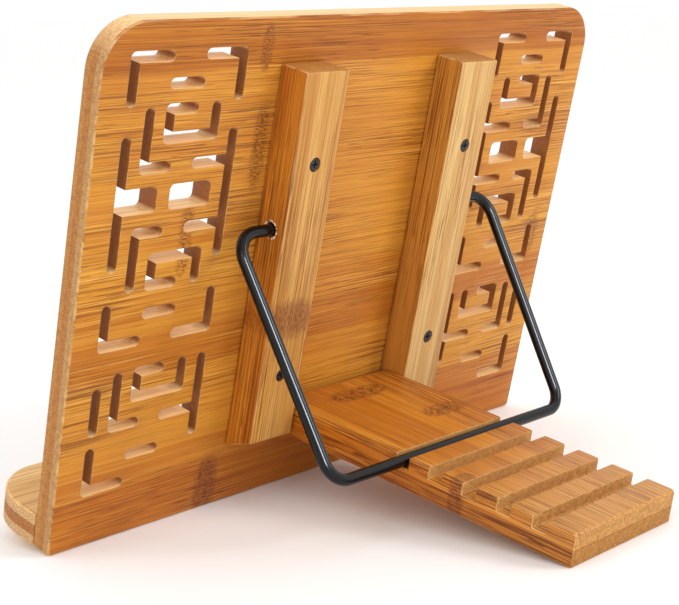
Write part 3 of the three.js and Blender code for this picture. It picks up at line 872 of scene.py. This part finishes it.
def new_piece(name, points, faces, finish, body, node):
    """A smooth mesh in the row frame that stands for the node."""
    mesh = bpy.data.meshes.new(name)
    mesh.from_pydata(points.tolist(), [], faces)
    mesh.polygons.foreach_set("use_smooth", np.ones(len(mesh.polygons), bool))
    mesh.materials.append(finishes[finish])
    mesh.validate()
    piece = bpy.data.objects.new(name, mesh)
    bpy.context.scene.collection.objects.link(piece)
    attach(piece, body)
    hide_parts(node)
    return piece


def bent_route(corners, radii, straight_steps=24, arc_steps=20):
    """Straight runs joined by arcs, each of which touches both runs of its corner."""
    corners = np.array(corners)
    runs = []
    start = corners[0]
    for corner, before, after, radius in zip(corners[1:-1], corners[:-2], corners[2:], radii):
        back, ahead = unit(before - corner), unit(after - corner)
        half = math.acos(float(back @ ahead)) / 2
        first = corner + back * radius / math.tan(half)
        last = corner + ahead * radius / math.tan(half)
        middle = corner + unit(back + ahead) * radius / math.sin(half)
        share = np.linspace(0, 1, straight_steps, endpoint=False)[:, None]
        runs.append(start + (first - start) * share)
        sweep = math.pi - 2 * half
        turn = np.linspace(0, 1, arc_steps, endpoint=False)[:, None]
        weights = np.sin((1 - turn) * sweep), np.sin(turn * sweep)
        spokes = (first - middle) * weights[0] + (last - middle) * weights[1]
        runs.append(middle + spokes / math.sin(sweep))
        start = last
    share = np.linspace(0, 1, straight_steps)[:, None]
    runs.append(start + (corners[-1] - start) * share)
    return np.concatenate(runs)


def make_bail():
    """A round section carried along the flat bent route: middle + r (cos a N + sin a B).

    B is the normal of the plane that the whole wire lies in and N is B crossed with the tangent.
    The ends are drawn in a little, as sheared and tumbled wire is.
    """
    foot_v, foot_w = CROSSBAR
    corners = [
        (BAIL_TIP, BAIL_HEIGHT, BAIL_OUT), (BAIL_SHOULDER, BAIL_HEIGHT, BAIL_OUT),
        (BAIL_FOOT, foot_v, foot_w), (-BAIL_FOOT, foot_v, foot_w),
        (-BAIL_SHOULDER, BAIL_HEIGHT, BAIL_OUT), (-BAIL_TIP, BAIL_HEIGHT, BAIL_OUT),
    ]
    route = bent_route(corners, (BAIL_TOP_BEND, BAIL_FOOT_BEND, BAIL_FOOT_BEND, BAIL_TOP_BEND))
    tangent = unit(np.gradient(route, axis=0))
    flat = unit(np.cross([1.0, 0.0, 0.0], np.subtract(corners[2], corners[1])))
    beside = np.cross(flat, tangent)
    sides = 32
    angle = np.arange(sides) * 2 * math.pi / sides
    radius = np.full(len(route), WIRE_RADIUS * 0.995)
    radius[[0, -1]] *= 0.8
    ring = np.cos(angle)[None, :, None] * beside[:, None] + np.sin(angle)[None, :, None] * flat
    skin = route[:, None] + radius[:, None, None] * ring
    u, v, w = skin.reshape(-1, 3).T
    faces = capped_faces(len(route), sides)
    points = row_points(u, v, w)
    piece = new_piece("wire_bail_smooth", points, faces, "wire", "bail", "wire_bail")
    face_outwards(piece)


def face_outwards(piece):
    """Turns every face of a closed skin outwards."""
    skin = bmesh.new()
    skin.from_mesh(piece.data)
    bmesh.ops.recalc_face_normals(skin, faces=skin.faces)
    skin.to_mesh(piece.data)
    skin.free()


def cross_recess(x, y):
    """1 inside a cross of two slots that narrow towards their ends, 0 outside, with a slope between."""
    half, reach, slope = 0.5, 2.1, 0.16
    narrow = half * (1 - 0.35 * np.clip(np.maximum(np.abs(x), np.abs(y)) / reach, 0, 1))
    one = np.clip((narrow - np.abs(y)) / slope, 0, 1) * np.clip((reach - np.abs(x)) / slope, 0, 1)
    two = np.clip((narrow - np.abs(x)) / slope, 0, 1) * np.clip((reach - np.abs(y)) / slope, 0, 1)
    return np.maximum(one, two)


def make_screw(hand, level):
    """A profile of radius and height turned about its axis; the head's top dips by the cross."""
    sides = 96
    top = np.concatenate([np.linspace(0.02, 2.4, 22), [2.65, 2.85, 2.98, 3.06]])
    dome = 0.12 * (1 - (top / SCREW_HEAD_RADIUS) ** 2)
    crown = dome - 0.25 * np.clip((top - SCREW_HEAD_RADIUS + 0.3) / 0.3, 0, 1) ** 2
    below = [(SCREW_HEAD_RADIUS, -0.34), (SCREW_HEAD_RADIUS, -HEAD_EDGE), (SCREW_SHANK_RADIUS, -HEAD_FOOT),
             (SCREW_SHANK_RADIUS, SCREW_TAPER - SCREW_LENGTH), (SCREW_TIP_RADIUS, -SCREW_LENGTH)]
    radius = np.concatenate([top, [r for r, _ in below]])
    height = np.concatenate([crown, [h for _, h in below]])
    angle = np.arange(sides) * 2 * math.pi / sides
    x = radius[:, None] * np.cos(angle)
    y = radius[:, None] * np.sin(angle)
    dip = cross_recess(x, y) * (height[:, None] > -0.4) * CROSS_DEPTH
    side = 1.0 if hand == "right" else -1.0
    u = -side * SCREW_OUT + x
    v = SCREW_HEIGHTS[level] + y
    w = SCREW_TOP + height[:, None] - dip
    faces = capped_faces(len(radius), sides)
    points = row_points(u.ravel(), v.ravel(), w.ravel())
    node = f"screw_{hand}_{level}"
    piece = new_piece(f"cross_head_{node}", points, faces, "screw", "stand", node)
    face_outwards(piece)


# ------------------------------------------------------------------ the stand's looks


def dress_hidden_parts():
    """The dowels and the rod keep their solids and get their finish."""
    for name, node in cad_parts.items():
        if name.startswith("ledge_dowel"):
            node.data.materials.clear()
            node.data.materials.append(finishes["dowel"])
        if name == "tail_pivot_rod":
            node.data.materials.clear()
            node.data.materials.append(finishes["rod"])


def make_floor():
    """A wide pale sheet just under the stand."""
    reach = 80.0
    mesh = bpy.data.meshes.new("floor")
    corners = [(-reach, -reach, 0), (reach, -reach, 0), (reach, reach, 0), (-reach, reach, 0)]
    mesh.from_pydata(corners, [], [(0, 1, 2, 3)])
    f = Finish("pale_sheet")
    f.shader.inputs["Specular IOR Level"].default_value = 0.1
    mesh.materials.append(f.surface((0.97, 0.965, 0.96, 1.0), 0.85))
    floor = bpy.data.objects.new("floor", mesh)
    bpy.context.scene.collection.objects.link(floor)


def soft_box(name, place, aim, size, power, colour=(1.0, 1.0, 1.0), sheen_only=False):
    """A rectangular lamp that faces a point. With sheen_only it shows only in the gloss."""
    lamp = bpy.data.lights.new(name, "AREA")
    lamp.shape = "RECTANGLE"
    lamp.size, lamp.size_y = size
    lamp.energy = power
    lamp.color = colour
    box = bpy.data.objects.new(name, lamp)
    box.location = place
    box.rotation_euler = (Vector(aim) - Vector(place)).to_track_quat("-Z", "Y").to_euler()
    box.visible_diffuse = not sheen_only
    bpy.context.scene.collection.objects.link(box)


def light_studio():
    """A white room, a key lamp behind on the left, a narrow strip and a cool sheen on the gloss."""
    world = bpy.data.worlds.new("studio")
    bpy.context.scene.world = world
    world.use_nodes = True
    background = world.node_tree.nodes["Background"]
    background.inputs["Color"].default_value = (1.0, 1.0, 1.0, 1.0)
    background.inputs["Strength"].default_value = 1.03
    middle = (0.0, 0.0, 0.1)
    soft_box("key", (-0.9, 1.5, 1.1), middle, (0.7, 0.7), 13.0)
    soft_box("strip", (1.3, 0.5, 0.9), middle, (0.25, 0.8), 2.5)
    soft_box("sheen", (0.5, 1.1, 0.64), middle, (0.35, 0.6), 30.0, (0.84, 0.92, 1.0), sheen_only=True)
    bpy.context.scene.view_settings.view_transform = "Standard"


def place_camera():
    """Stands to the rear and to the side, a little above the board's top."""
    lens = bpy.data.cameras.new("camera")
    lens.lens = CAMERA_LENS
    lens.sensor_width = CAMERA_SENSOR
    camera = bpy.data.objects.new("camera", lens)
    bpy.context.scene.collection.objects.link(camera)
    camera.rotation_mode = "QUATERNION"
    place = row_points(*CAMERA_PLACE)[0]
    target = row_points(*CAMERA_TARGET)[0]
    turn = (Vector(target) - Vector(place)).to_track_quat("-Z", "Y")
    camera.location = place
    camera.rotation_quaternion = turn @ Quaternion((0, 0, 1), CAMERA_ROLL)
    bpy.context.scene.camera = camera


# ------------------------------------------------------------------ the whole scene

make_board()
make_ledge()
make_battens()
make_tail()
make_bail()
for hand in ("left", "right"):
    for level in SCREW_HEIGHTS:
        make_screw(hand, level)
dress_hidden_parts()
make_floor()
light_studio()
place_camera()
